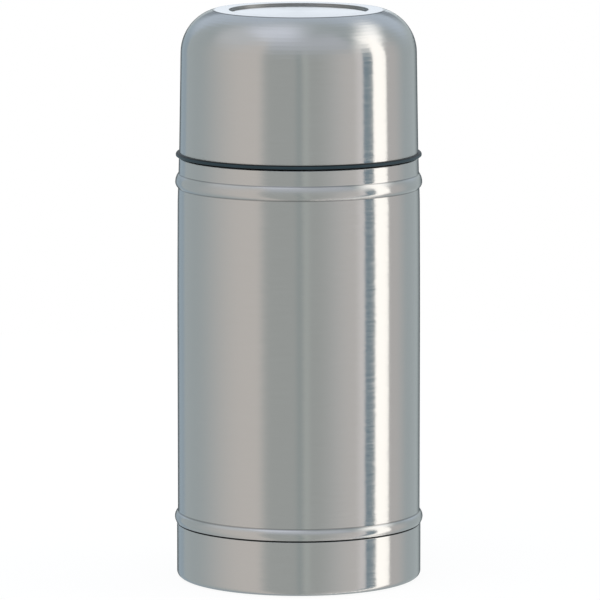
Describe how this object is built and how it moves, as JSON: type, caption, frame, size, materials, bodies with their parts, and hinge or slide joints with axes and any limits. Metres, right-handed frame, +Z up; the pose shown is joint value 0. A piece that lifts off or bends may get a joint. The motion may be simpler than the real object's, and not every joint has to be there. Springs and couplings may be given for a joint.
{
  "type": "insulated food jar",
  "caption": "Tall round double-walled steel food jar with two rolled beads, a domed screw-on cup lid over a dark lip, and an inner screw stopper with a push-button vent.",
  "frame": {"origin": "middle of the foot ring's plane, on the jar's axis, where it stands on a table", "axes": "+Z up along the jar's axis, +X to the right and +Y away from the viewer; the jar is round, so X and Y are free choices"},
  "size_m": [0.1024, 0.1024, 0.235],
  "materials": {
    "steel_brushed": "satin",
    "steel_inner": "satin",
    "solder": "matte",
    "getter_alloy": "matte",
    "plastic_black": "satin",
    "plastic_grip": "matte",
    "plastic_grey": "satin",
    "silicone": "matte",
    "foam": "matte",
    "spring_wire": "satin"
  },
  "bodies": {
    "jar": {"base_cap": "steel_brushed", "outer_shell": "steel_brushed", "inner_vessel": "steel_inner", "bottom_plate": "steel_inner", "pump_out_seal": "solder", "getter": "getter_alloy", "thread_collar": "plastic_black"},
    "stopper_gasket": {"rim_gasket": "silicone"},
    "stopper_ring": {"plug_seal": "silicone"},
    "stopper": {"stopper_body": "plastic_black", "stopper_grip": "plastic_grip", "stopper_foam": "foam", "vent_spring": "spring_wire"},
    "vent": {"vent_button": "plastic_grey", "vent_stem": "plastic_grey", "vent_disc": "silicone"},
    "cup_ring": {"cup_gasket": "silicone"},
    "cup_pad": {"cup_foam": "foam"},
    "cup": {"cup_shell": "steel_brushed", "cup_liner": "plastic_black"}
  },
  "joints": [
    {"name": "stopper_lift", "type": "slide", "parent": "jar", "child": "stopper_gasket", "axis": [0, 0, 1], "range_m": [0, 0.06]},
    {"name": "stopper_rise", "type": "slide", "parent": "stopper_gasket", "child": "stopper_ring", "axis": [0, 0, 1], "range_m": [0, 0.0075]},
    {"name": "stopper_turn", "type": "hinge", "parent": "stopper_ring", "child": "stopper", "pos_m": [0, 0, 0.1887], "axis": [0, 0, 1], "range_deg": [0, 540]},
    {"name": "vent_press", "type": "slide", "parent": "stopper", "child": "vent", "axis": [0, 0, 1], "range_m": [-0.003, 0], "stiffness_N_per_m": 400, "springref_m": 0.004, "deforming": ["vent_spring"]},
    {"name": "cup_lift", "type": "slide", "parent": "stopper_gasket", "child": "cup_ring", "axis": [0, 0, 1], "range_m": [0, 0.055]},
    {"name": "cup_rise", "type": "slide", "parent": "cup_ring", "child": "cup_pad", "axis": [0, 0, 1], "range_m": [0, 0.0045]},
    {"name": "cup_turn", "type": "hinge", "parent": "cup_pad", "child": "cup", "pos_m": [0, 0, 0.1745], "axis": [0, 0, 1], "range_deg": [0, 405]}
  ],
  "couplings": [
    {"joint": "stopper_rise", "follows": "stopper_turn", "m_per_rad": 0.0007957},
    {"joint": "cup_rise", "follows": "cup_turn", "m_per_rad": 0.0006366}
  ]
}
